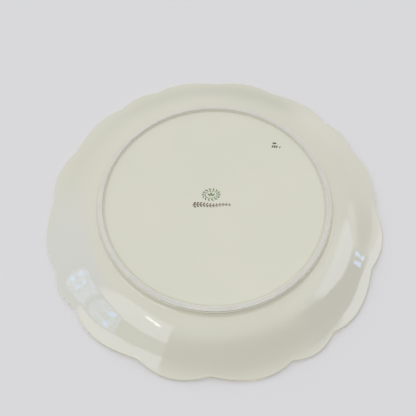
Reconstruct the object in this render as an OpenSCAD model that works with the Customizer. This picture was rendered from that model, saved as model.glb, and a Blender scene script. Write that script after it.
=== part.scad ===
// Shallow porcelain serving bowl with a scalloped rim.
// It stands on its foot ring: the origin is the centre of the ring's bearing face, and +Z is up.

/* [Bowl] */
// Radius out to the crown of every scallop
rim_r = 152.7; // [140:0.1:170]
// Height of the whole bowl above the surface it stands on
bowl_h = 22.2; // [19:0.1:32]
// Thickness of the glazed wall beside the foot
wall_t = 4.4; // [3.6:0.1:6]
// Thickness of the glazed wall at the rim
rim_t = 2.6; // [2.2:0.1:3.4]
// Thickness of the glaze
glaze_t = 0.35; // [0.25:0.05:0.5]

/* [Wall] */
// Radius at which the wall leaves the foot
wall_r = 107; // [106.8:0.1:108]
// Rise of the wall for each millimetre outwards, beside the foot
foot_slope = 0.11; // [0.05:0.01:0.15]
// Radius at which the steeper shoulder begins
shoulder_in = 109; // [108.5:0.5:115]
// Radius at which the shoulder would end, close to the rim
shoulder_out = 157; // [148:0.5:160]
// How far the edge dips towards the foot at a notch, for each millimetre of the notch's depth
flute = 0.05; // [0:0.01:0.2]

/* [Foot ring] */
// Radius of the middle of the bearing face
foot_r = 100; // [99.5:0.1:100.3]
// Width of the bare bearing face, with its rounded edges
foot_w = 4; // [3.6:0.1:4.2]
// Height of the glazed wall above the bearing face, where it leaves the ring's outer side
foot_h = 4.85; // [4.75:0.05:6]
// Depth of the glazed base inside the ring, above the bearing face
recess_h = 3.1; // [2.9:0.1:4.3]
// Height of the bare strip above the bearing face
bare_h = 0.9; // [0.7:0.1:1]
// Spread of the ring's outer side from the bare strip to the fillet
foot_draft = 0.5; // [0.3:0.1:0.7]
// Radius of the fillet where the ring's outer side meets the wall
foot_fillet = 4.1; // [3:0.1:4.2]
// Spread of the ring's inner side from the bare strip to the fillet
recess_draft = 0.5; // [0.4:0.1:1]
// Radius of the fillet where the ring's inner side meets the base
recess_fillet = 1.8; // [0.8:0.1:1.9]
// Radius of the two tiny pits that the kiln left in the bearing face
pit_r = 0.6; // [0.3:0.1:0.8]

/* [Scallops] */
// Half the angle that a narrow scallop takes
narrow_half = 8.0; // [7:0.1:10]
// Half the angle that a medium scallop takes
medium_half = 11.4; // [10:0.1:13]
// Depth of the notch between a narrow and a wide scallop
narrow_notch = 4.2; // [1:0.1:5]
// Depth of the notch between a wide and a medium scallop
medium_notch = 5.1; // [1:0.1:6]
// How far a wide scallop's crown leans towards its narrow neighbour
lean = 0.65; // [0:0.05:1.5]
// Softness of the notches
notch_soft = 0.06; // [0.05:0.01:0.4]

/* [Decoration] */
// Half the angle of the rounded edge that is gilded
gilt_half = 35; // [20:1:50]
// Thickness of the printed and painted marks
print_t = 0.12; // [0.1:0.01:0.2]
// Turn of the marks about the bowl's axis
marks_turn = 32.2; // [0:0.1:90]
// Width of the leaf wreath
wreath_w = 17; // [12:0.5:20]
// Height of the leaf wreath
wreath_h = 12.6; // [11:0.1:16]
// Number of leaves around the wreath
wreath_leaves = 14; // [10:2:16]
// Length of the vine below the wreath
vine_l = 34; // [28:1:40]
// Number of pairs of leaves along the vine
vine_pairs = 12; // [8:1:13]

/* [Hidden] */
$fn = 96;

// One quarter of the rim: a narrow, a wide, a medium and a second wide scallop
QUARTER = 90;
MIDDLE = QUARTER / 2;
SIDES = [6, 8, 6, 8];
STARTS = [-narrow_half, narrow_half, MIDDLE - medium_half, MIDDLE + medium_half, QUARTER - narrow_half];
ANGLES = [for (q = [0 : 3]) for (k = [0 : 3]) for (i = [0 : SIDES[k] - 1])
          q * QUARTER + STARTS[k] + (STARTS[k + 1] - STARTS[k]) * i / SIDES[k]];
// Flat-sided rings are widened by this factor so that they clear the round foot
ROUND_CLEAR = 1 / cos(medium_half / SIDES[2]);
PIT_ANGLES = [40, -136];
PIT_AT = foot_r - 0.7;
// Places of the marks on the base, seen from below and before their turn
WREATH_AT = [-2.7, 2.7];
VINE_AT = [-2.2, -7.7];
MARK_AT = [59.1, 55.6];
WALL_STEPS = 7;
EDGE_STEPS = 2;
FOOT_STEPS = 4;
FILLET_STEPS = 8;
edge_t = rim_t / 2;
under_z = foot_h + glaze_t;
recess_z = recess_h + glaze_t;

// ---- Scalloped outline ----

// Angle from the nearest narrow scallop's crown, 0 to 45
function folded(a) = abs((a + MIDDLE + 4 * QUARTER) % QUARTER - MIDDLE);

// 0 at a notch and 1 at a crown, with a rounded bottom to the notch
function swell(u) = (sqrt(pow(sin(180 * u), 2) + pow(notch_soft, 2)) - notch_soft)
                    / (sqrt(1 + pow(notch_soft, 2)) - notch_soft);

function leaned(u) = u * (1 + lean) / (1 + lean * u);

function wide_share(t) = leaned((t - narrow_half) / (MIDDLE - medium_half - narrow_half));

function mixed(from, to, share) = from + (to - from) * share;

function wide_cut(share) = mixed(narrow_notch, medium_notch, share) * (1 - swell(share));

// How far the edge lies inside the crown radius
function cut_in(t) =
    t <= narrow_half ? narrow_notch * (1 - swell(0.5 + 0.5 * t / narrow_half))
    : t < MIDDLE - medium_half ? wide_cut(wide_share(t))
    : medium_notch * (1 - swell(0.5 * (t - MIDDLE + medium_half) / medium_half));

function edge_r(a) = rim_r - cut_in(folded(a));

// ---- Section through the wall ----

function eased(u) = (1 - cos(180 * min(max(u, 0), 1))) / 2;

function shoulder(r) = eased((r - shoulder_in) / (shoulder_out - shoulder_in));

crown_r = rim_r - edge_t;
shoulder_lift = (bowl_h - rim_t - foot_h - foot_slope * (crown_r - wall_r)) / shoulder(crown_r);

// Height of the glazed outside of the wall through a crown
function outside_z(r) = foot_h + foot_slope * (r - wall_r) + shoulder_lift * shoulder(r);

function thickness(r) = mixed(wall_t, rim_t, (r - wall_r) / (crown_r - wall_r));

function wall_radius(a, i) = mixed(wall_r, edge_r(a) - edge_t, i / WALL_STEPS);

// How far the wall lies below the section through a crown
function dip(a, i) = flute * cut_in(folded(a)) * pow(i / WALL_STEPS, 3);

// Points [r, z] of the section at angle a, at depth d below the glazed surface
function outside_line(a, d) = [for (i = [0 : WALL_STEPS - 1])
    let (r = wall_radius(a, i)) [r, outside_z(r) - dip(a, i) + d]];

function inside_line(a, d) = [for (i = [WALL_STEPS - 1 : -1 : 0])
    let (r = wall_radius(a, i)) [r, outside_z(r) - dip(a, i) + thickness(r) - d]];

function edge_arc(a, d, from, to, steps) = [for (i = [0 : steps])
    let (c = edge_r(a) - edge_t, f = mixed(from, to, i / steps))
    [c + (edge_t - d) * cos(f), outside_z(c) - dip(a, WALL_STEPS) + edge_t + (edge_t - d) * sin(f)]];

// Concave quarter round of radius r at the top of a side of the foot ring, in the given number of
// steps: s is 1 outside and -1 inside the ring, and d the depth below the glaze
function fillet(s, draft, r, d, steps) = [for (i = [0 : steps])
    let (f = mixed(180, 90, i / steps), q = r - glaze_t + d)
    [foot_r + s * (foot_w / 2 + draft + r + q * cos(f)), (s > 0 ? under_z : recess_z) - r + q * sin(f)]];

// Glazed side of the foot ring at depth d, from the bare strip to the end of its fillet
function foot_side(s, draft, r, d, steps) = concat(
    [[foot_r + s * (foot_w / 2 + glaze_t - d), bare_h]],
    fillet(s, draft, r, d, steps));

function foot_line(d) = foot_side(1, foot_draft, foot_fillet, d, FOOT_STEPS);

function recess_line(d) = foot_side(-1, recess_draft, recess_fillet, d, FILLET_STEPS);

function widened(line) = [for (p = line) [p[0] * ROUND_CLEAR, p[1]]];

function reversed(list) = [for (i = [len(list) - 1 : -1 : 0]) list[i]];

// ---- Closed skins through one section for each angle ----

function around(sections) = [for (j = [0 : len(ANGLES) - 1]) for (p = sections[j])
    [p[0] * cos(ANGLES[j]), p[0] * sin(ANGLES[j]), p[1]]];

// Triangles between each section and the next. The diagonal always runs outwards, whichever way
// the section is drawn, so that two skins that meet share their triangles.
function faces(sections, last) = let (n = len(sections), m = len(sections[0]))
    [for (j = [0 : n - 1]) for (i = [0 : last])
        let (k = (i + 1) % m, a = j * m, b = ((j + 1) % n) * m)
        each sections[0][i][0] < sections[0][k][0]
            ? [[a + i, b + i, b + k], [a + i, b + k, a + k]]
            : [[a + i, b + i, a + k], [b + i, b + k, a + k]]];

// A ring-shaped skin: each section is a closed loop
module ring_skin(sections) {
    polyhedron(around(sections), faces(sections, len(sections[0]) - 1));
}

// A dish-shaped solid: each section is an open line that starts and ends on the axis
module dish_solid(sections, first_z, last_z) {
    n = len(sections);
    m = len(sections[0]);
    poles = [[0, 0, first_z], [0, 0, last_z]];
    start_fan = [for (j = [0 : n - 1]) [n * m, ((j + 1) % n) * m, j * m]];
    end_fan = [for (j = [0 : n - 1]) [n * m + 1, j * m + m - 1, ((j + 1) % n) * m + m - 1]];
    polyhedron(concat(around(sections), poles), concat(faces(sections, m - 2), start_fan, end_fan));
}

// ---- Porcelain ----

module bowl_body() {
    color([0.90, 0.89, 0.84])
        dish_solid([for (a = ANGLES) concat(
            [[foot_r, recess_z], [foot_r, under_z]],
            outside_line(a, glaze_t),
            edge_arc(a, glaze_t, -90, -gilt_half, EDGE_STEPS),
            edge_arc(a, glaze_t, 0, gilt_half, 1),
            edge_arc(a, glaze_t, mixed(gilt_half, 90, 0.5), 90, 1),
            inside_line(a, glaze_t))],
            recess_z, foot_h + wall_t - glaze_t);
}

// Bare edge of the foot ring, from the bearing face to the bare strip: s is 1 outside and -1 inside
function bare_edge(s) = [for (f = [0 : 15 : 75])
    [foot_r + s * (foot_w / 2 - bare_h / 2 * (1 - sin(f))), bare_h / 2 * (1 - cos(f))]];

function ring_side(s, draft, r) = concat(bare_edge(s), foot_side(s, draft, r, glaze_t, FILLET_STEPS));

module foot_ring() {
    color([0.86, 0.86, 0.84])
        difference() {
            rotate_extrude()
                polygon(concat(
                    ring_side(1, foot_draft, foot_fillet),
                    [[foot_r, under_z], [foot_r, recess_z]],
                    reversed(ring_side(-1, recess_draft, recess_fillet))));
            for (f = PIT_ANGLES)
                rotate(f) translate([PIT_AT, 0, -pit_r / 3]) sphere(pit_r);
        }
}

// ---- Glaze ----

module outside_glaze() {
    color([0.83, 0.82, 0.76])
        ring_skin([for (a = ANGLES) concat(
            widened(foot_line(0)),
            outside_line(a, 0),
            edge_arc(a, 0, -90, -gilt_half, EDGE_STEPS),
            reversed(edge_arc(a, glaze_t, -90, -gilt_half, EDGE_STEPS)),
            reversed(outside_line(a, glaze_t)),
            reversed(widened(foot_line(glaze_t))))]);
}

module inside_glaze() {
    color([0.85, 0.84, 0.78])
        dish_solid([for (a = ANGLES) concat(
            reversed(inside_line(a, glaze_t)),
            reversed(edge_arc(a, glaze_t, gilt_half, 90, EDGE_STEPS)),
            edge_arc(a, 0, gilt_half, 90, EDGE_STEPS),
            inside_line(a, 0))],
            foot_h + wall_t - glaze_t, foot_h + wall_t);
}

module base_glaze() {
    color([0.83, 0.82, 0.76])
        rotate_extrude()
            polygon(concat(recess_line(0), [[0, recess_h], [0, recess_z]], reversed(recess_line(glaze_t))));
}

// ---- Gold and marks ----

module rim_gilding() {
    color([0.72, 0.60, 0.36])
        ring_skin([for (a = ANGLES) concat(
            edge_arc(a, 0, -gilt_half, gilt_half, 2),
            edge_arc(a, glaze_t, gilt_half, -gilt_half, 2))]);
}

// Puts a flat outline on the underside of the base, drawn as it is seen from below
module on_base(at) {
    translate([0, 0, recess_h - print_t])
        rotate(marks_turn)
            mirror([0, 1, 0])
                translate(at)
                    linear_extrude(print_t) children();
}

// A pointed leaf along +X
module leaf(l, w) {
    polygon([for (i = [0 : 11]) let (u = i < 6 ? i / 6 : (12 - i) / 6, s = i < 6 ? 1 : -1)
             [l * u, s * w / 2 * sin(180 * u)]]);
}

// Leaves along an oval, each at the same lean from it: outwards below 90 degrees and inwards above.
// Their length is a share of the space between them.
module leaf_ring(w, h, share, lean_out) {
    l = share * PI * min(w, h) / wreath_leaves;
    for (k = [0 : wreath_leaves - 1])
        let (f = 360 * (k + 0.5) / wreath_leaves)
            translate([w / 2 * cos(f), h / 2 * sin(f)])
                rotate(f + lean_out)
                    leaf(l, l / 2.3);
}

// Two rows of leaves round a fan of three
module wreath_print() {
    fan_l = 0.28 * min(wreath_w, wreath_h);
    color([0.36, 0.50, 0.30])
        on_base(WREATH_AT) {
            leaf_ring(0.74 * wreath_w, 0.70 * wreath_h, 1.5, 50);
            leaf_ring(0.69 * wreath_w, 0.65 * wreath_h, 1.05, 130);
            for (f = [40, 90, 140])
                translate([0, -fan_l / 2]) rotate(f) translate([fan_l / 6, 0]) leaf(fan_l, fan_l / 2);
        }
}

// A gently swinging stem with pairs of pointed leaves, smaller towards its tip
module vine_print() {
    steps = 48;
    stem_half = 0.26;
    gap = 0.25;
    space = vine_l / vine_pairs;
    color([0.36, 0.24, 0.16])
        on_base(VINE_AT) {
            polygon([for (s = [1, -1]) for (i = s > 0 ? [0 : steps] : [steps : -1 : 0])
                [vine_l * (i / steps - 0.5), vine_y(i / steps) + s * stem_half]]);
            for (k = [0 : vine_pairs - 1]) for (s = [1, -1])
                let (u = (k + 0.3) / vine_pairs, l = space * mixed(1.24, 0.45, pow(u, 0.7)))
                    translate([vine_l * (u - 0.5), vine_y(u) + s * (stem_half + gap)])
                        rotate(s * 42)
                            leaf(l, l / 2.2);
        }
}

function vine_y(u) = 0.45 * sin(540 * u);

// A bar over four slanting dabs of a brush
module decorator_mark() {
    color([0.16, 0.15, 0.13])
        on_base(MARK_AT) {
            translate([-2.1, 3.1]) square([3.3, 1.6], center = true);
            for (k = [0 : 2])
                translate([-4 + 1.9 * k, -0.4 - 0.3 * k]) rotate(62) square([2.7, 1.2], center = true);
            translate([2.7, -1.5]) rotate(62) square([2, 0.8], center = true);
        }
}

bowl_body();
foot_ring();
outside_glaze();
inside_glaze();
base_glaze();
rim_gilding();
wreath_print();
vine_print();
decorator_mark();
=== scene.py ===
"""Looks of a shallow porcelain serving bowl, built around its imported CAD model. Lengths are in metres."""
import math

import bpy
import numpy as np
from mathutils import Matrix, Vector


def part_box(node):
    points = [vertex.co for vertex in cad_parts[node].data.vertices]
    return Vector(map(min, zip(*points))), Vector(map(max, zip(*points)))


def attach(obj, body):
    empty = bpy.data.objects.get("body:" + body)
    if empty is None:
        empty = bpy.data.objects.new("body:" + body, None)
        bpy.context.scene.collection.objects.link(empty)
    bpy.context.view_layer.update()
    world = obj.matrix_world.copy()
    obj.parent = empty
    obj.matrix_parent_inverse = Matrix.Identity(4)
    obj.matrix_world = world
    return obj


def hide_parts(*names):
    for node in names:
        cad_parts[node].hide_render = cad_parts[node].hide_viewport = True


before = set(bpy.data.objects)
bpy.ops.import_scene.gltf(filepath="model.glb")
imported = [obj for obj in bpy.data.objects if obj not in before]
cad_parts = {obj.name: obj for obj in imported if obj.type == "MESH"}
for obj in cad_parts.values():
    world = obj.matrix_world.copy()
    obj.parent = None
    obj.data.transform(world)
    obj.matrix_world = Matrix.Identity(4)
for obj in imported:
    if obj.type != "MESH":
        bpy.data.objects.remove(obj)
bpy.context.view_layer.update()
MM = 0.001

# ---- Sizes, in millimetres and degrees, taken from the CAD boxes where they show there ----
rim_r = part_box("rim_gilding")[1].x / MM
bowl_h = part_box("inside_glaze")[1].z / MM
WALL_T, RIM_T, GLAZE_T = 4.4, 2.6, 0.35
EDGE_T = RIM_T / 2
# The outer wall: where it leaves the foot's fillet, its slope there, and the radii that its shoulder rises between
FOOT_H, WALL_R, FOOT_SLOPE = 4.85, 107.0, 0.11
SHOULDER_IN, SHOULDER_OUT = 109.0, 157.0
# The foot ring's middle and width, and the height of its bare strip
FOOT_R, FOOT_W = 100.0, 4.0
BARE_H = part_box("base_glaze")[0].z / MM
# Spread and fillet of the foot ring's sides: 1 is outside and -1 inside the ring
FOOT_SIDES = {1: (0.5, 4.1), -1: (0.5, 1.8)}
# Heights above the bearing face of the glaze that ends each side's fillet, and of the body behind it
GLAZE_Z = {1: FOOT_H, -1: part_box("wreath_print")[1].z / MM}
BODY_Z = {side: z + GLAZE_T for side, z in GLAZE_Z.items()}
INSIDE_Z = FOOT_H + WALL_T
# Scallops: half the angle of the narrow and of the medium ones, the depth of the notches beside them, how far
# the wide ones lean, how rounded a notch is, and how much the wall dips along it
NARROW_HALF, MEDIUM_HALF = 8.0, 11.4
NARROW_NOTCH, MEDIUM_NOTCH = 4.2, 5.1
LEAN, NOTCH_SOFT, FLUTE = 0.65, 0.06, 0.05
CROWN_R = rim_r - EDGE_T
# How far the gold line reaches to each side round the edge, and the turn of the marks in the bowl's own frame
GILT_HALF, MARKS_TURN = 35.0, 32.2
# Fineness of the meshes: angles in each scallop and round the foot, and rows over each stretch
PER_SCALLOP, ROUND_FOOT = 28, 256
WALL_ROWS, CORE_ROWS, SIDE_ROWS, FILLET_ROWS, BARE_ROWS = 40, 24, 5, 12, 8
EDGE_ROWS, GILT_ROWS, CORE_EDGE_ROWS = 6, 8, 12
# Radii of the rows over the flat inside, and of the last row before the middle on the other flats
FLAT_RADII, LAST_R = (105, 100, 92, 70, 35), 60


# ---- Scalloped outline and wall section: the same formulas as the CAD, on arrays ----
def swell(u):
    """0 at a notch and 1 at a crown, with a rounded bottom to the notch."""
    height = np.sqrt(np.sin(np.pi * u) ** 2 + NOTCH_SOFT ** 2) - NOTCH_SOFT
    return height / (math.hypot(1, NOTCH_SOFT) - NOTCH_SOFT)


def cut_in(angles):
    """How far the edge lies inside the crown radius at each angle."""
    t = np.abs((angles + 45) % 90 - 45)
    u = np.clip((t - NARROW_HALF) / (45 - MEDIUM_HALF - NARROW_HALF), 0, 1)
    share = u * (1 + LEAN) / (1 + LEAN * u)
    narrow = NARROW_NOTCH * (1 - swell(0.5 + 0.5 * np.minimum(t / NARROW_HALF, 1)))
    wide = (NARROW_NOTCH + (MEDIUM_NOTCH - NARROW_NOTCH) * share) * (1 - swell(share))
    medium = MEDIUM_NOTCH * (1 - swell(0.5 * np.clip((t - 45 + MEDIUM_HALF) / MEDIUM_HALF, 0, 1)))
    return np.where(t <= NARROW_HALF, narrow, np.where(t < 45 - MEDIUM_HALF, wide, medium))


def eased(u):
    return (1 - np.cos(np.pi * np.clip(u, 0, 1))) / 2


def shoulder(r):
    return eased((r - SHOULDER_IN) / (SHOULDER_OUT - SHOULDER_IN))


LIFT = (bowl_h - RIM_T - FOOT_H - FOOT_SLOPE * (CROWN_R - WALL_R)) / float(shoulder(CROWN_R))


def outside_z(r):
    return FOOT_H + FOOT_SLOPE * (r - WALL_R) + LIFT * shoulder(r)


def thickness(r):
    return WALL_T + (RIM_T - WALL_T) * (r - WALL_R) / (CROWN_R - WALL_R)


def rim_angles(per_scallop):
    """Angles round the rim, closer together at the notches."""
    starts = [-NARROW_HALF, NARROW_HALF, 45 - MEDIUM_HALF, 45 + MEDIUM_HALF, 90 - NARROW_HALF]
    x = (1 - np.cos(np.pi * np.arange(per_scallop) / per_scallop)) / 2
    quarter = np.concatenate([a + (b - a) * x for a, b in zip(starts, starts[1:])])
    return np.concatenate([quarter + 90 * q for q in range(4)])


def wall_rows(angles, steps, inside, depth):
    """Rows of (r, z) over the wall, from the foot outwards, at a depth below the glazed surface."""
    cut = cut_in(angles)
    rows = []
    for s in np.linspace(0, 1, steps + 1)[:-1]:
        r = WALL_R + (rim_r - cut - EDGE_T - WALL_R) * s
        z = outside_z(r) - FLUTE * cut * s ** 3
        rows.append((r, z + (thickness(r) - depth if inside else depth)))
    return rows


def edge_rows(angles, depth, start, end, steps):
    """Rows over the rounded edge between two angles of its section, at a depth below the glazed surface."""
    cut = cut_in(angles)
    c = rim_r - cut - EDGE_T
    z = outside_z(c) - FLUTE * cut + EDGE_T
    return [(c + (EDGE_T - depth) * math.cos(f), z + (EDGE_T - depth) * math.sin(f))
            for f in np.radians(np.linspace(start, end, steps + 1))]


def round_rows(angles, points):
    """The same (r, z) all the way round."""
    one = np.ones(len(angles))
    return [(one * r, one * z) for r, z in points]


def skin(name, angles, rows, closed=False, pole_first=None, pole_last=None):
    """A mesh through rows of (r, z): closed joins the last row to the first, a pole height caps an end."""
    n, m = len(angles), len(rows)
    a = np.radians(angles)
    verts = np.concatenate([np.stack([r * np.cos(a), r * np.sin(a), z], 1) for r, z in rows]) * MM
    verts = [tuple(v) for v in verts]
    faces = []
    for i in range(m if closed else m - 1):
        k = (i + 1) % m
        faces += [(i * n + j, i * n + (j + 1) % n, k * n + (j + 1) % n, k * n + j) for j in range(n)]
    for row, height, turn in ((0, pole_first, True), (m - 1, pole_last, False)):
        if height is not None:
            verts.append((0.0, 0.0, height * MM))
            for j in range(n):
                ends = (row * n + j, row * n + (j + 1) % n)
                faces.append((len(verts) - 1, ends[1], ends[0]) if turn else (len(verts) - 1, *ends))
    mesh = bpy.data.meshes.new(name)
    mesh.from_pydata(verts, [], faces)
    mesh.validate()
    obj = bpy.data.objects.new(name, mesh)
    bpy.context.scene.collection.objects.link(obj)
    for poly in mesh.polygons:
        poly.use_smooth = True
    turn_outwards(mesh)
    return obj


def turn_outwards(mesh):
    """Turns every face over if the closed mesh has a negative volume."""
    co = np.empty(len(mesh.vertices) * 3)
    mesh.vertices.foreach_get("co", co)
    co = co.reshape(-1, 3)
    mesh.calc_loop_triangles()
    tri = np.empty(len(mesh.loop_triangles) * 3, np.int32)
    mesh.loop_triangles.foreach_get("vertices", tri)
    a, b, c = (co[tri.reshape(-1, 3)[:, i]] for i in range(3))
    if np.einsum("ij,ij->i", a, np.cross(b, c)).sum() < 0:
        mesh.flip_normals()


# ---- Materials ----
def material(name):
    m = bpy.data.materials.new(name)
    m.use_nodes = True
    tree = m.node_tree
    shader = next(n for n in tree.nodes if n.type == "BSDF_PRINCIPLED")
    coords = tree.nodes.new("ShaderNodeTexCoord").outputs["Object"]
    return m, tree, shader, coords


def noise(tree, coords, scale, detail=3.0, rough=0.5):
    """Soft random cells, scale of them to the metre."""
    n = tree.nodes.new("ShaderNodeTexNoise")
    n.inputs["Scale"].default_value = scale
    n.inputs["Detail"].default_value = detail
    n.inputs["Roughness"].default_value = rough
    tree.links.new(coords, n.inputs["Vector"])
    return n.outputs["Fac"]


def ramp(tree, value, low, high, to_low=0.0, to_high=1.0):
    """Runs smoothly from to_low to to_high as the value goes from low to high."""
    n = tree.nodes.new("ShaderNodeMapRange")
    n.interpolation_type = "SMOOTHSTEP"
    tree.links.new(value, n.inputs["Value"])
    n.inputs["From Min"].default_value, n.inputs["From Max"].default_value = low, high
    n.inputs["To Min"].default_value, n.inputs["To Max"].default_value = to_low, to_high
    return n.outputs["Result"]


def maths(tree, operation, a, b):
    """One sum on two values, each a number or a socket."""
    n = tree.nodes.new("ShaderNodeMath")
    n.operation = operation
    for socket, value in zip(n.inputs, (a, b)):
        if isinstance(value, (int, float)):
            socket.default_value = value
        else:
            tree.links.new(value, socket)
    return n.outputs[0]


def multiply(tree, a, b):
    return maths(tree, "MULTIPLY", a, b)


def blend(tree, share, a, b):
    """The colour a, mixed towards b by a share."""
    n = tree.nodes.new("ShaderNodeMix")
    n.data_type = "RGBA"
    tree.links.new(share, n.inputs["Factor"])
    for socket, value in ((n.inputs["A"], a), (n.inputs["B"], b)):
        if isinstance(value, tuple):
            socket.default_value = (*value, 1)
        else:
            tree.links.new(value, socket)
    return n.outputs["Result"]


def bump(tree, shader, height, distance):
    """Relief that stands up by a distance in metres where the height is 1."""
    n = tree.nodes.new("ShaderNodeBump")
    n.inputs["Distance"].default_value = distance
    n.inputs["Strength"].default_value = 1.0
    tree.links.new(height, n.inputs["Height"])
    tree.links.new(n.outputs["Normal"], shader.inputs["Normal"])


def radius(tree, coords):
    """Distance from the bowl's axis, in metres."""
    n = tree.nodes.new("ShaderNodeVectorMath")
    n.operation = "MULTIPLY"
    n.inputs[1].default_value = (1, 1, 0)
    tree.links.new(coords, n.inputs[0])
    length = tree.nodes.new("ShaderNodeVectorMath")
    length.operation = "LENGTH"
    tree.links.new(n.outputs[0], length.inputs[0])
    return length.outputs["Value"]


def band(tree, value, inner, from_inner, from_outer, outer):
    """1 between from_inner and from_outer, fading to 0 at inner and outer, in millimetres."""
    rise = ramp(tree, value, inner * MM, from_inner * MM)
    fall = ramp(tree, value, from_outer * MM, outer * MM, 1.0, 0.0)
    return multiply(tree, rise, fall)


# Glaze inside and on the base, and on the outer wall, each with its cooler clouds
CREAM, CREAM_COOL = (0.752, 0.748, 0.652), (0.738, 0.738, 0.636)
CREAM_WALL, CREAM_WALL_COOL = (0.733, 0.727, 0.634), (0.719, 0.717, 0.618)
# The thicker glaze in the corners beside the foot ring, and the radii that it runs between: both tones are paler
# than the glaze beside them, the outer one warmer, and are partly painted light, standing for the light that falls
# and is reflected in those corners
POOL_AND_LIGHT_OUTSIDE, POOL_AND_LIGHT_OUTSIDE_AT = (0.775, 0.757, 0.618), (101.5, 102.3, 104.5, 106.8)
POOL_AND_LIGHT_BASE, POOL_AND_LIGHT_BASE_AT = (0.80, 0.79, 0.65), (96.3, 97.3, 98.5, 99.5)
SPECK, SPECK_SHARE = (0.30, 0.24, 0.15), 0.6
# Height in metres of the glaze's ripple, of the bare clay's grain and of the print, and the ripple's finer share
RIPPLE_M, GRAIN_M, PRINT_M, FINE_SHARE = 0.00007, 0.00003, 0.00002, 0.09
# Bare clay at the rounded edges of the foot ring, painted paler there as a highlight, and along its worn middle,
# its stains and its pits
CLAY_AND_EDGE_HIGHLIGHT, CLAY_MIDDLE, MIDDLE_AT = (0.755, 0.755, 0.70), (0.68, 0.675, 0.635), (98.5, 99.3, 100.7, 101.5)
CLAY_STAIN, STAIN_SHARE, CLAY_PIT, PIT_SHARE = (0.64, 0.63, 0.585), 0.5, (0.55, 0.54, 0.50), 0.4
# The body under the glaze with its darker clouds, and the gilding with the porcelain that shows through it
CORE, CORE_DARK, GOLD, GOLD_WORN = (0.74, 0.72, 0.62), (0.70, 0.68, 0.57), (0.62, 0.51, 0.33), (0.72, 0.68, 0.57)
# Index of refraction of a glaze
GLAZE_IOR = 1.5


def paint(tree, shader, colour, texture, smoothest, roughest):
    """Sets a surface's colour, and a roughness that follows a texture."""
    tree.links.new(colour, shader.inputs["Base Color"])
    tree.links.new(ramp(tree, texture, 0.3, 0.7, smoothest, roughest), shader.inputs["Roughness"])


def glaze(name, light, dark, pool_and_light=None, pool_and_light_at=None):
    """Clear gloss over ivory porcelain: faint clouding, rare kiln specks, and where the glaze pools a paler,
    warmer tone that is partly painted light for the light that falls there.
    """
    m, tree, shader, coords = material(name)
    colour = blend(tree, ramp(tree, noise(tree, coords, 14.0), 0.35, 0.65), light, dark)
    # Painted light mixed with pooled glaze: the corners beside the foot ring are made paler, as if lit, where the
    # glaze pools
    if pool_and_light:
        uneven = ramp(tree, noise(tree, coords, 40.0), 0.2, 0.8, 0.7, 1.0)
        pooled_and_lit = multiply(tree, band(tree, radius(tree, coords), *pool_and_light_at), uneven)
        colour = blend(tree, pooled_and_lit, colour, pool_and_light)
    cells = tree.nodes.new("ShaderNodeTexVoronoi")
    cells.inputs["Scale"].default_value = 120.0
    tree.links.new(coords, cells.inputs["Vector"])
    chosen = tree.nodes.new("ShaderNodeSeparateColor")
    tree.links.new(cells.outputs["Color"], chosen.inputs["Color"])
    dot = ramp(tree, cells.outputs["Distance"], 0.012, 0.03, 1.0, 0.0)
    speck = multiply(tree, dot, ramp(tree, chosen.outputs["Red"], 0.965, 0.98))
    colour = blend(tree, multiply(tree, speck, SPECK_SHARE), colour, SPECK)
    paint(tree, shader, colour, noise(tree, coords, 30.0, detail=5.0), 0.02, 0.05)
    shader.inputs["IOR"].default_value = GLAZE_IOR
    fine = multiply(tree, noise(tree, coords, 260.0, detail=2.0), FINE_SHARE)
    bump(tree, shader, maths(tree, "ADD", noise(tree, coords, 55.0, detail=2.0), fine), RIPPLE_M)
    return m


def bare_porcelain(name):
    """Wiped and worn clay: cooler and duller along the worn middle of the ring, with a painted highlight that
    makes it paler at its rounded edges.
    """
    m, tree, shader, coords = material(name)
    grain = noise(tree, coords, 2600.0, detail=4.0, rough=0.7)
    stain = ramp(tree, noise(tree, coords, 160.0, detail=5.0, rough=0.6), 0.45, 0.75)
    wear = ramp(tree, noise(tree, coords, 14.0), 0.42, 0.58, 0.25, 1.0)
    middle = multiply(tree, band(tree, radius(tree, coords), *MIDDLE_AT), wear)
    pits = ramp(tree, grain, 0.56, 0.74)
    # Painted highlight: the clay is paler towards the ring's rounded edges than along its middle
    colour = blend(tree, middle, CLAY_AND_EDGE_HIGHLIGHT, CLAY_MIDDLE)
    colour = blend(tree, multiply(tree, stain, STAIN_SHARE), colour, CLAY_STAIN)
    colour = blend(tree, multiply(tree, pits, PIT_SHARE), colour, CLAY_PIT)
    paint(tree, shader, colour, grain, 0.36, 0.56)
    bump(tree, shader, grain, GRAIN_M)
    return m


def core_porcelain(name):
    """Ivory porcelain under the glaze, softly clouded."""
    m, tree, shader, coords = material(name)
    cloud = noise(tree, coords, 35.0, detail=4.0)
    paint(tree, shader, blend(tree, ramp(tree, cloud, 0.3, 0.7), CORE, CORE_DARK), cloud, 0.5, 0.62)
    bump(tree, shader, noise(tree, coords, 1800.0), GRAIN_M)
    return m


def worn_gold(name):
    """A burnished gold line, rubbed through to the porcelain in places."""
    m, tree, shader, coords = material(name)
    wear = maths(tree, "ADD", multiply(tree, noise(tree, coords, 45.0, detail=4.0, rough=0.6), 0.6),
                 multiply(tree, noise(tree, coords, 900.0, rough=0.7), 0.4))
    worn = ramp(tree, wear, 0.40, 0.56)
    paint(tree, shader, blend(tree, worn, GOLD, GOLD_WORN), wear, 0.22, 0.38)
    tree.links.new(maths(tree, "SUBTRACT", 1.0, worn), shader.inputs["Metallic"])
    bump(tree, shader, wear, GRAIN_M)
    return m


def ink(name, full, thin, scale):
    """Printed or painted colour: uneven and broken at the scale of the print's dots."""
    m, tree, shader, coords = material(name)
    dots = noise(tree, coords, scale, rough=0.7)
    paint(tree, shader, blend(tree, ramp(tree, dots, 0.48, 0.68), full, thin), dots, 0.10, 0.2)
    bump(tree, shader, dots, PRINT_M)
    return m


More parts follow.
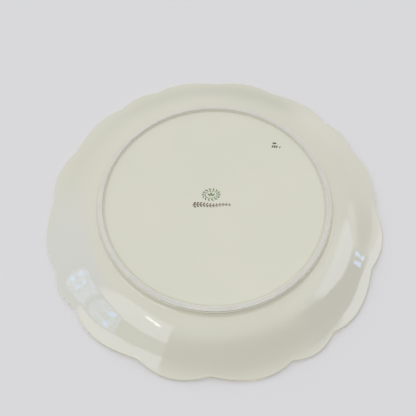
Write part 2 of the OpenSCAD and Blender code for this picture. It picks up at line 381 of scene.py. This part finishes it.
def dress(obj, mat, node):
    """Gives a new piece its material and slot, and puts it in the place of a CAD node."""
    obj.data.materials.append(mat)
    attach(obj, "root")
    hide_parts(node)


# ---- The bowl ----
around = rim_angles(PER_SCALLOP)
even = np.arange(0, 360, 360 / ROUND_FOOT)

# The outer wall's glaze and the base's glaze carry the painted light in the corners beside the foot ring
glaze_out = glaze("cream_glaze", CREAM_WALL, CREAM_WALL_COOL, POOL_AND_LIGHT_OUTSIDE, POOL_AND_LIGHT_OUTSIDE_AT)
glaze_in = glaze("cream_glaze_inside", CREAM, CREAM_COOL)
glaze_base = glaze("cream_glaze_base", CREAM, CREAM_COOL, POOL_AND_LIGHT_BASE, POOL_AND_LIGHT_BASE_AT)


def fillet(side, depth):
    """Quarter round at the top of a side of the foot ring, at a depth below the glaze."""
    draft, r = FOOT_SIDES[side]
    q = r - GLAZE_T + depth
    return [(FOOT_R + side * (FOOT_W / 2 + draft + r + q * math.cos(f)), BODY_Z[side] - r + q * math.sin(f))
            for f in np.radians(np.linspace(180, 90, FILLET_ROWS + 1))]


def foot_side(side, depth):
    """The glazed side of the foot ring, from the bare strip to its fillet's end, at a depth below the glaze."""
    start = (FOOT_R + side * (FOOT_W / 2 + GLAZE_T - depth), BARE_H)
    curve = fillet(side, depth)
    end = curve[0]
    straight = [(start[0] + (end[0] - start[0]) * x, start[1] + (end[1] - start[1]) * x)
                for x in np.linspace(0, 1, SIDE_ROWS + 1)[:-1]]
    return straight + curve


rows = []
for depth in (0.0, GLAZE_T):
    part = round_rows(around, foot_side(1, depth)) + wall_rows(around, WALL_ROWS, False, depth)
    part += edge_rows(around, depth, -90, -GILT_HALF, EDGE_ROWS)
    rows += part[::-1] if depth else part
dress(skin("glaze_outside", around, rows, closed=True), glaze_out, "outside_glaze")

rows = []
for depth in (0.0, GLAZE_T):
    part = edge_rows(around, depth, GILT_HALF, 90, EDGE_ROWS) + wall_rows(around, WALL_ROWS, True, depth)[::-1]
    part += round_rows(around, [(r, INSIDE_Z - depth) for r in FLAT_RADII])
    rows += part if depth else part[::-1]
dress(skin("glaze_inside", around, rows, pole_first=INSIDE_Z, pole_last=INSIDE_Z - GLAZE_T),
      glaze_in, "inside_glaze")

rows = round_rows(around, [(LAST_R, BODY_Z[-1]), (FOOT_R, BODY_Z[-1]), (FOOT_R, BODY_Z[1])])
rows += wall_rows(around, CORE_ROWS, False, GLAZE_T) + edge_rows(around, GLAZE_T, -90, 90, CORE_EDGE_ROWS)
rows += wall_rows(around, CORE_ROWS, True, GLAZE_T)[::-1] + round_rows(around, [(LAST_R, INSIDE_Z - GLAZE_T)])
dress(skin("porcelain_body", around, rows, pole_first=BODY_Z[-1], pole_last=INSIDE_Z - GLAZE_T),
      core_porcelain("porcelain"), "bowl_body")

rows = edge_rows(around, 0.0, -GILT_HALF, GILT_HALF, GILT_ROWS)
rows += edge_rows(around, GLAZE_T, GILT_HALF, -GILT_HALF, GILT_ROWS)
dress(skin("gold_line", around, rows, closed=True), worn_gold("worn_gold"), "rim_gilding")


def turned_side(side):
    """One side of the foot ring's section, from the bearing face to the end of its fillet."""
    half = BARE_H / 2
    points = [(FOOT_R + side * (FOOT_W / 2 - half * (1 - math.sin(f))), half * (1 - math.cos(f)))
              for f in np.radians(np.linspace(0, 90, BARE_ROWS + 1))]
    return points + [(FOOT_R + side * FOOT_W / 2, BARE_H)] + fillet(side, GLAZE_T)


section = turned_side(1) + [(FOOT_R, BODY_Z[1]), (FOOT_R, BODY_Z[-1])] + turned_side(-1)[::-1]
dress(skin("foot", even, round_rows(even, section), closed=True), bare_porcelain("bare_porcelain"),
      "foot_ring")

section = [(LAST_R, GLAZE_Z[-1])] + foot_side(-1, 0.0)[::-1] + foot_side(-1, GLAZE_T) + [(LAST_R, BODY_Z[-1])]
dress(skin("glaze_base", even, round_rows(even, section), pole_first=GLAZE_Z[-1], pole_last=BODY_Z[-1]),
      glaze_base, "base_glaze")

# The marks are the CAD's own solids: node, material, full colour, thin colour, and the scale of the dots
for node, name, full, thin, scale in (
        ("wreath_print", "green_print", (0.10, 0.20, 0.06), (0.34, 0.45, 0.24), 900.0),
        ("vine_print", "brown_print", (0.085, 0.038, 0.012), (0.25, 0.15, 0.06), 1600.0),
        ("decorator_mark", "black_enamel", (0.03, 0.028, 0.025), (0.12, 0.11, 0.09), 1200.0)):
    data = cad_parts[node].data
    data.materials.clear()
    data.materials.append(ink(name, full, thin, scale))

# ---- Stage: a table above which the bowl hangs as if turned over, and a floor below it ----
# The picture looks up at the bowl, so the table it lies on upside down is the plane through its rim.
# Each plane shows on one side only and casts nothing: the world stands in for the light it would return.
STAGE_HALF, TABLE, FLOOR, FLOOR_GAP = 12.0, (0.84, 0.84, 0.86), (0.80, 0.80, 0.805), 0.0002


def stage_plane(name, z, facing_up, colour):
    corners = [(x * STAGE_HALF, y * STAGE_HALF, z) for x, y in ((-1, -1), (1, -1), (1, 1), (-1, 1))]
    mesh = bpy.data.meshes.new(name)
    mesh.from_pydata(corners, [], [(0, 1, 2, 3) if facing_up else (3, 2, 1, 0)])
    obj = bpy.data.objects.new(name, mesh)
    bpy.context.scene.collection.objects.link(obj)
    m = bpy.data.materials.new(name)
    m.use_nodes = True
    tree = m.node_tree
    tree.nodes.clear()
    side = tree.nodes.new("ShaderNodeNewGeometry").outputs["Backfacing"]
    matt = tree.nodes.new("ShaderNodeBsdfDiffuse")
    matt.inputs["Color"].default_value = (*colour, 1)
    mix = tree.nodes.new("ShaderNodeMixShader")
    tree.links.new(side, mix.inputs["Fac"])
    tree.links.new(matt.outputs[0], mix.inputs[1])
    tree.links.new(tree.nodes.new("ShaderNodeBsdfTransparent").outputs[0], mix.inputs[2])
    tree.links.new(mix.outputs[0], tree.nodes.new("ShaderNodeOutputMaterial").inputs["Surface"])
    mesh.materials.append(m)
    obj.visible_diffuse = obj.visible_glossy = obj.visible_transmission = obj.visible_shadow = False


stage_plane("table", bowl_h * MM, False, TABLE)
stage_plane("floor", -FLOOR_GAP, True, FLOOR)

# ---- Light: a soft studio sky round the bowl, with a few pale panels that the glaze mirrors ----
TURN = Matrix.Rotation(math.radians(MARKS_TURN), 3, "Z")
# What the camera sees past the stage
PLAIN = (0.70, 0.70, 0.71)
# The turned bowl's soft light: its shares from above, from the far side, from the left and from all round
LIGHT_OVER, LIGHT_AWAY, LIGHT_LEFT, LIGHT_ROUND = 0.71, 0.17, 0.14, 0.35
# The upright bowl's soft light: its strength, how narrow it is, where it stands, and the least from all round
LIGHT_UPRIGHT, LIGHT_NARROW, UPRIGHT_FROM, UPRIGHT_ROUND = 1.35, 2.0, (-60, -50), 0.2

# What the gloss mirrors over the turned bowl: a gradient, and patches mixed into it from first to last.
# A patch is its corners as (azimuth, elevation), its colour, and the width of its soft edges in degrees:
# one for all of them, or one for each edge, starting at each corner in turn.
HORIZON, ZENITH, BELOW = (0.44, 0.44, 0.38), (1.95, 1.95, 1.68), (0.75, 0.75, 0.76)
DARK_SIDE, NEAR_SIDE, LOW_SIDE = (0.5, 0.32, 0.27), (0.64, 0.31, 0.15), (0.78, 0.78, 0.77)
PATCHES = [
    # Pale walls on the far right and on the left
    ([(24, -10), (24, 46), (76, 46), (76, -10)], (1.6, 1.5, 1.4), 16),
    ([(-110, 15), (-112, 52), (-57, 50), (-65, 15)], (1.5, 1.58, 2.4), [14, 14, 26, 18]),
    # Darker room on the right and behind the camera, neutral where it is low
    ([(58, -5), (68, 26), (91, 37), (100, -5)], (1.1, 1.0, 0.85), [12, 4, 3, 3]),
    ([(82, -5), (86, 34), (122, 53), (135, -5)], DARK_SIDE, [3, 4, 10, 3]),
    ([(112, -5), (125, 49), (-150, 53), (-151.2, 48.5), (-160, -5)], NEAR_SIDE, [8, 20, 1, 1, 3]),
    ([(85, -5), (85, 22), (130, 36), (-176, 43), (-176, -5)], LOW_SIDE, [10, 5, 5, 5, 4]),
    ([(176, -5), (176, 43), (-140, 38), (-92, 26), (-92, -5)], LOW_SIDE, [10, 5, 5, 5, 4]),
    # Lit walls and ceiling, brighter towards the far panes
    ([(60, 25), (60, 34), (80, 35), (80, 27)], (2.5, 2.3, 2.15), 4),
    ([(58, 50), (56, 69), (118, 69), (118, 54)], (2.5, 2.4, 2.2), 10),
    ([(64, 36), (62, 50), (102, 55), (105, 44), (92, 35.5), (77, 30)], (3.4, 3.5, 3.9), [6, 8, 6, 2, 2, 2]),
    ([(-101, 43), (-96, 60), (-99, 67.5), (-144, 68), (-151.2, 50.3), (-123, 46)], (3.6, 3.6, 3.9),
     [6, 6, 5, 1, 1, 1]),
    # Lamp high on the left
    ([(-122, 62), (-122, 64.6), (-138, 62.6), (-138, 59.8)], (11.0, 10.7, 9.4), 1.8),
]
# Far panes of light, and dimmer broken ones before them
PANE_LIGHT, PANE_SOFT, VEIL_LIGHT, VEIL_SOFT, VEIL_SHARE = (2.8, 4.6, 8.4), 0.6, (2.8, 3.4, 4.8), 1.5, 0.9
PANES = [
    [(-91, 32.4), (-90.8, 34.4), (-92.6, 35.1), (-92.9, 33.1)],
    [(-95, 34), (-94.8, 35.3), (-96.6, 36), (-96.9, 34.6)],
    [(-115, 41.2), (-114.8, 42.8), (-118.2, 44.2), (-118.6, 42.4)],
    [(80.8, 27.6), (81, 28.9), (82.7, 29.1), (82.5, 27.8)],
    [(84.9, 29.2), (85, 30.5), (87, 30.8), (86.9, 29.5)],
]
VEILS = [
    [(-90, 31), (-90, 39), (-104, 42), (-105, 36)],
    [(-106.5, 37.5), (-106.5, 42.3), (-121.5, 45.5), (-122.5, 42.3)],
]
# Three panels over the upright bowl: their azimuths, half their width, and their lower and upper edges
PANELS_AT, PANEL_HALF, PANEL_LOW, PANEL_HIGH = (-90, 30, 150), 30, -30, -58
PANEL_LIGHT, PANEL_SOFT = (1.9, 1.9, 1.95), 18


def direction(azimuth, elevation):
    """A direction over the turned bowl: azimuth 0 is away from the camera and 90 to its right."""
    a, e = math.radians(azimuth), math.radians(elevation)
    return TURN @ Vector((math.sin(a) * math.cos(e), -math.cos(a) * math.cos(e), -math.sin(e)))


world = bpy.data.worlds.new("studio")
bpy.context.scene.world = world
world.use_nodes = True
sky_tree = world.node_tree
sky_tree.nodes.clear()
looking = sky_tree.nodes.new("ShaderNodeTexCoord").outputs["Generated"]


def along(vector):
    """How far the sky's direction runs along a vector: the sine of its height over that plane."""
    n = sky_tree.nodes.new("ShaderNodeVectorMath")
    n.operation = "DOT_PRODUCT"
    sky_tree.links.new(looking, n.inputs[0])
    n.inputs[1].default_value = vector
    return n.outputs["Value"]


def patch(sky, corners, colour, soft, share=None):
    """Mixes a colour into the sky inside a convex polygon, with one softness for all its edges or one for each."""
    points = [direction(*c) for c in corners]
    middle = sum(points, Vector()).normalized()
    mask = share
    for i, p in enumerate(points):
        normal = p.cross(points[(i + 1) % len(points)]).normalized()
        if normal.dot(middle) < 0:
            normal.negate()
        half = math.sin(math.radians((soft[i] if isinstance(soft, list) else soft) / 2))
        edge = ramp(sky_tree, along(normal), -half, half)
        mask = edge if mask is None else multiply(sky_tree, mask, edge)
    return blend(sky_tree, mask, sky, colour)


def backdrop(value):
    """A world shader of one colour, or of what a socket gives."""
    n = sky_tree.nodes.new("ShaderNodeBackground")
    if isinstance(value, tuple):
        n.inputs["Color"].default_value = (*value, 1)
    else:
        sky_tree.links.new(value, n.inputs["Color"])
    return n.outputs[0]


def choose(socket, otherwise, chosen):
    """A shader for one kind of ray, and another for the rest."""
    n = sky_tree.nodes.new("ShaderNodeMixShader")
    sky_tree.links.new(sky_tree.nodes.new("ShaderNodeLightPath").outputs[socket], n.inputs["Fac"])
    sky_tree.links.new(otherwise, n.inputs[1])
    sky_tree.links.new(chosen, n.inputs[2])
    return n.outputs[0]


# What lights the matt part of each surface: a broad light over the turned bowl and another over the upright one
over, away, left = direction(0, 90), direction(0, 0), direction(-90, 0)
turned_over = maths(sky_tree, "ADD", along(LIGHT_OVER * over + LIGHT_AWAY * away + LIGHT_LEFT * left), LIGHT_ROUND)
from_above = maths(sky_tree, "MAXIMUM", along(direction(*UPRIGHT_FROM)), 0.0)
lobe = multiply(sky_tree, maths(sky_tree, "POWER", from_above, LIGHT_NARROW), LIGHT_UPRIGHT)
light = maths(sky_tree, "MAXIMUM", turned_over, maths(sky_tree, "ADD", lobe, UPRIGHT_ROUND))

height = along(over)
sky = blend(sky_tree, height, HORIZON, ZENITH)
for corners, colour, soft in PATCHES:
    sky = patch(sky, corners, colour, soft)
broken = ramp(sky_tree, noise(sky_tree, looking, 42.0, detail=2.0, rough=0.6), 0.40, 0.52, 0.35, 1.0)
for corners in VEILS:
    sky = patch(sky, corners, VEIL_LIGHT, VEIL_SOFT, multiply(sky_tree, broken, VEIL_SHARE))
for corners in PANES:
    sky = patch(sky, corners, PANE_LIGHT, PANE_SOFT)
sky = blend(sky_tree, ramp(sky_tree, height, -0.10, 0.02, 1.0, 0.0), sky, BELOW)
for azimuth in PANELS_AT:
    one, other = azimuth - PANEL_HALF, azimuth + PANEL_HALF
    corners = [(one, PANEL_LOW), (other, PANEL_LOW), (other, PANEL_HIGH), (one, PANEL_HIGH)]
    sky = patch(sky, corners, PANEL_LIGHT, PANEL_SOFT)

lit = choose("Is Glossy Ray", backdrop(light), backdrop(sky))
everything = choose("Is Camera Ray", lit, backdrop(PLAIN))
sky_tree.links.new(everything, sky_tree.nodes.new("ShaderNodeOutputWorld").inputs["Surface"])

# ---- Camera: below the bowl, looking up at its foot ----
CAMERA_AT = (-99.22, 152.92, -327.71)
FORWARD, RIGHT = (0.23865, -0.39377, 0.88769), (0.85028, 0.52631, 0.00487)
SENSOR_MM, LENS_MM, NEAREST_M, FARTHEST_M = 36.0, 36.89, 0.01, 40.0
camera_data = bpy.data.cameras.new("camera")
camera_data.sensor_width, camera_data.lens = SENSOR_MM, LENS_MM
camera_data.clip_start, camera_data.clip_end = NEAREST_M, FARTHEST_M
camera = bpy.data.objects.new("camera", camera_data)
bpy.context.scene.collection.objects.link(camera)
forward = Vector(FORWARD).normalized()
right = Vector(RIGHT)
right = (right - forward * right.dot(forward)).normalized()
axes = Matrix((right, right.cross(forward), -forward)).transposed()
camera.matrix_world = Matrix.Translation(Vector(CAMERA_AT) * MM) @ axes.to_4x4()
bpy.context.scene.camera = camera
bpy.context.scene.view_settings.view_transform = "Standard"
